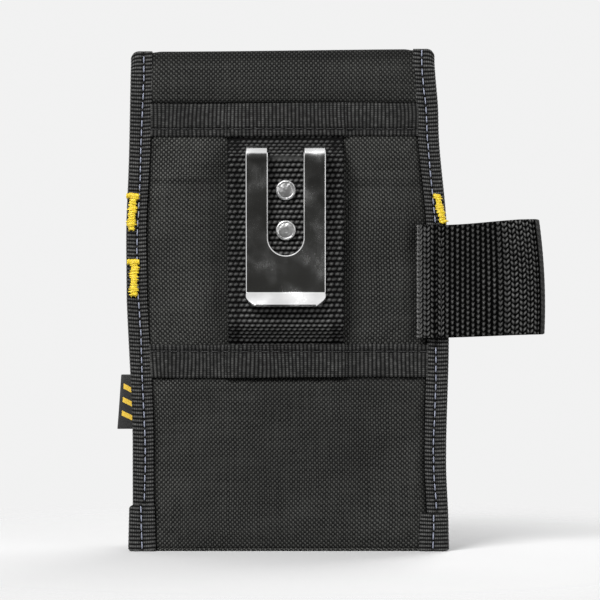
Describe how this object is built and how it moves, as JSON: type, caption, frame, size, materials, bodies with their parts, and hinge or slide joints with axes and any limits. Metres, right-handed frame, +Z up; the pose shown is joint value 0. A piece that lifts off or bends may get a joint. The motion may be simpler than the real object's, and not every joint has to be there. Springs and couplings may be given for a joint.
{
  "type": "electrician tool pouch",
  "caption": "Belt tool pouch with stiff back panel, stepped open pockets, bound seams, webbing tool loop and spring-steel belt clip.",
  "frame": {"origin": "middle of the flat base, on the surface that it stands on", "axes": "+Z up the back panel, +Y from the belt side towards the front pockets, +X to the side that has the tool loop"},
  "size_m": [0.187, 0.0671, 0.2206],
  "materials": {
    "outer_fabric": "matte basket-weave nylon",
    "lining": "matte coated nylon",
    "stiffener": "matte sheet",
    "binding_tape": "ribbed tape",
    "webbing": "coarse woven webbing, slight sheen",
    "tack_thread": "thick satin thread",
    "label": "fine woven ribbon",
    "spring_steel": "bright plated",
    "rivet_steel": "bright plated"
  },
  "bodies": {
    "pouch": {"back_panel": "outer_fabric", "back_lining": "lining", "stiffener_board": "stiffener", "top_facing": "outer_fabric", "upper_band": "binding_tape", "lower_band": "binding_tape", "belt_webbing": "webbing", "side_binding_left": "binding_tape", "side_binding_right": "binding_tape", "corner_wrap_left": "binding_tape", "corner_wrap_right": "binding_tape", "base_panel": "outer_fabric", "main_pocket_front": "outer_fabric", "main_gusset_left": "outer_fabric", "main_gusset_right": "outer_fabric", "main_mouth_binding": "binding_tape", "middle_pocket_front": "outer_fabric", "middle_gusset_left": "outer_fabric", "middle_gusset_right": "outer_fabric", "middle_mouth_binding": "binding_tape", "front_pocket_left": "outer_fabric", "front_pocket_right": "outer_fabric", "front_gusset_left_outer": "outer_fabric", "front_gusset_left_inner": "outer_fabric", "front_gusset_right_inner": "outer_fabric", "front_gusset_right_outer": "outer_fabric", "front_mouth_binding_left": "binding_tape", "front_mouth_binding_right": "binding_tape", "clip_back_plate": "spring_steel", "clip_rivets": "rivet_steel", "rivet_burrs": "rivet_steel", "side_bartacks": "tack_thread", "front_bartacks": "tack_thread", "side_label": "label", "loop_anchor_rear": "webbing", "loop_anchor_front": "webbing"},
    "clip_frame": {"clip_spring_frame": "spring_steel"},
    "tool_loop_strap": {"tool_loop": "webbing"}
  },
  "joints": [
    {"name": "clip_flex", "type": "hinge", "parent": "pouch", "child": "clip_frame", "pos_m": [0, -0.0332, 0.1725], "axis": [-1, 0, 0], "range_deg": [0, 6], "stiffness_Nm_per_rad": 6},
    {"name": "loop_swing", "type": "hinge", "parent": "pouch", "child": "tool_loop_strap", "pos_m": [0.072, -0.0205, 0.118], "axis": [0, 0, 1], "range_deg": [-60, 70], "stiffness_Nm_per_rad": 0.02}
  ]
}
